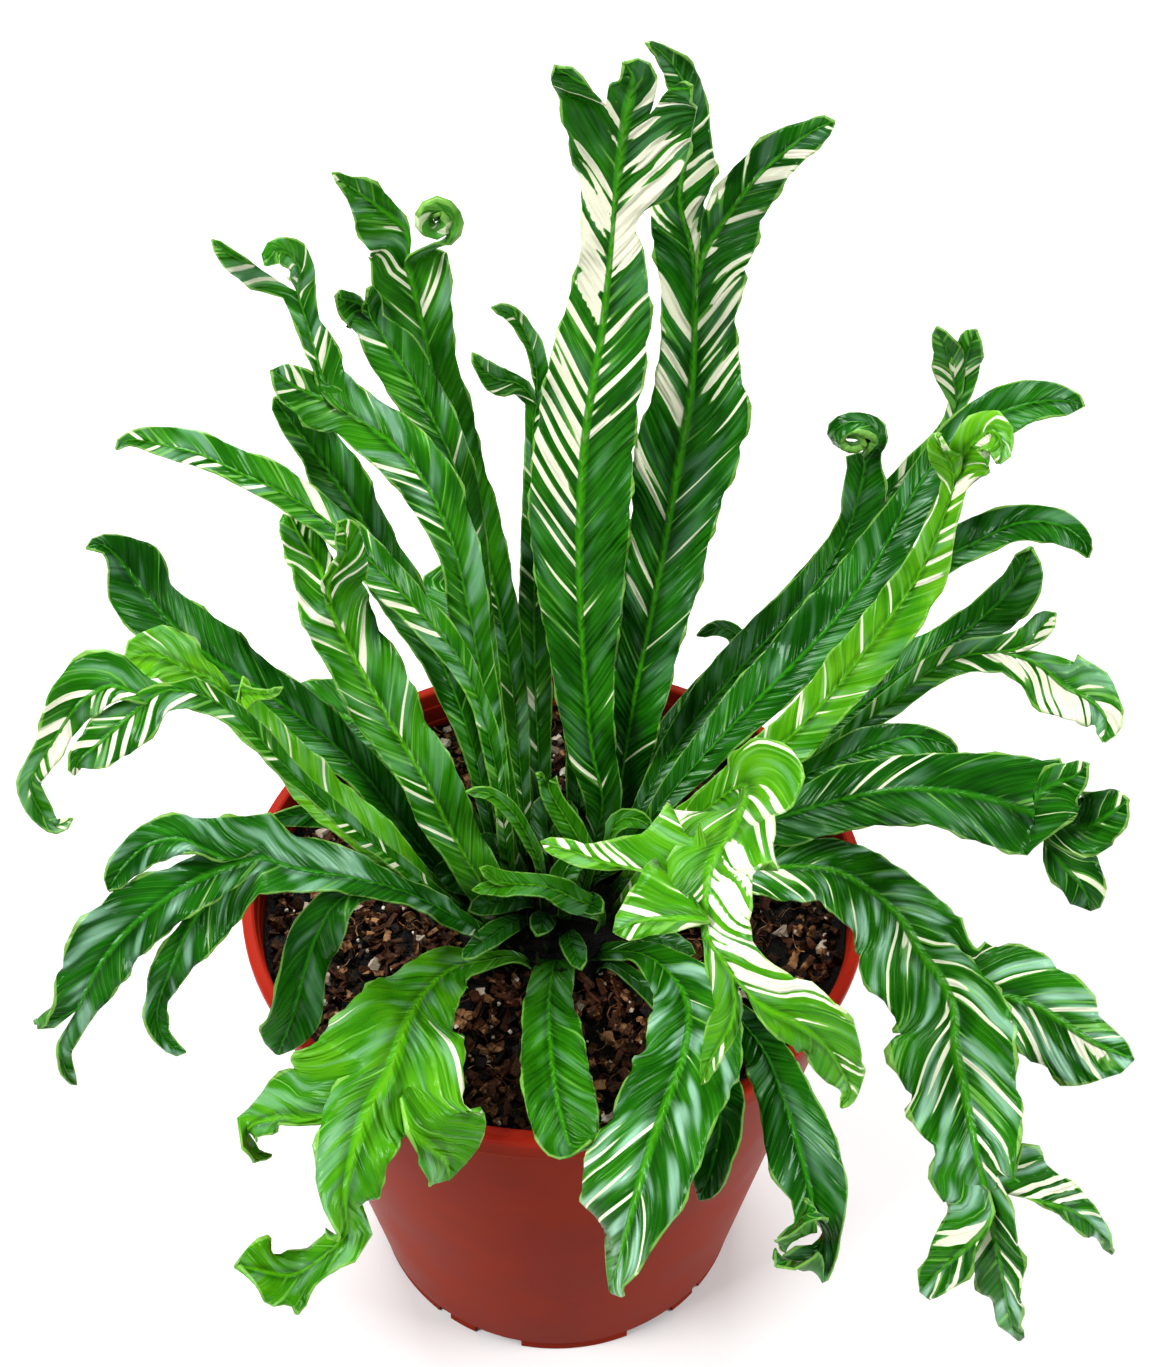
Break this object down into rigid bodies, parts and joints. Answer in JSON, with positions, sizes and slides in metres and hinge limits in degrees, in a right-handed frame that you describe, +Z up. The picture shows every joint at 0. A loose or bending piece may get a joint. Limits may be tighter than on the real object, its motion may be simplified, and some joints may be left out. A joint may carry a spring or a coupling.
{
  "type": "potted variegated birds nest fern",
  "caption": "Potted fern with long wavy, forked and crested leaves striped with cream, rising from one crown in a round tapered plastic pot with a collar and low feet.",
  "frame": {"origin": "on the ground that the pot's feet stand on, in the middle of the box around the whole plant", "axes": "+Z up, along the pot's axis; +Y away from the side that the lowest front leaves hang over; +X to the right of that side"},
  "size_m": [0.3306, 0.3262, 0.4533],
  "materials": {
    "pot_plastic": "smooth moulded plastic with a satin sheen",
    "bark_mix": "coarse bark chips and fibre",
    "crown_scales": "dull brown scales",
    "leaf_striped": "glossy leaf with cream stripes",
    "leaf_dark": "glossy dark green leaf",
    "leaf_young": "glossy light green leaf"
  },
  "bodies": {
    "root": {"pot": "pot_plastic", "potting_mix": "bark_mix", "crown": "crown_scales", "frond_01": "leaf_striped", "frond_02": "leaf_striped", "frond_03": "leaf_striped", "frond_04": "leaf_striped", "frond_05": "leaf_striped", "frond_06": "leaf_striped", "frond_07": "leaf_striped", "frond_08": "leaf_striped", "frond_09": "leaf_young", "frond_10": "leaf_dark", "frond_11": "leaf_young", "frond_12": "leaf_striped", "frond_13": "leaf_dark", "frond_14": "leaf_dark", "frond_15": "leaf_dark", "frond_16": "leaf_young", "frond_17": "leaf_striped", "frond_18": "leaf_striped", "frond_19": "leaf_dark", "frond_20": "leaf_dark", "frond_21": "leaf_young", "frond_22": "leaf_striped", "frond_23": "leaf_dark", "frond_24": "leaf_dark", "frond_25": "leaf_young", "frond_26": "leaf_dark", "frond_27": "leaf_dark", "frond_28": "leaf_dark", "frond_29": "leaf_striped", "frond_30": "leaf_dark", "frond_31": "leaf_dark", "frond_32": "leaf_dark", "frond_33": "leaf_young", "frond_34": "leaf_young", "frond_35": "leaf_young", "frond_36": "leaf_young", "frond_37": "leaf_young", "frond_38": "leaf_striped", "frond_39": "leaf_striped", "frond_40": "leaf_striped", "frond_42": "leaf_striped"}
  },
  "joints": []
}
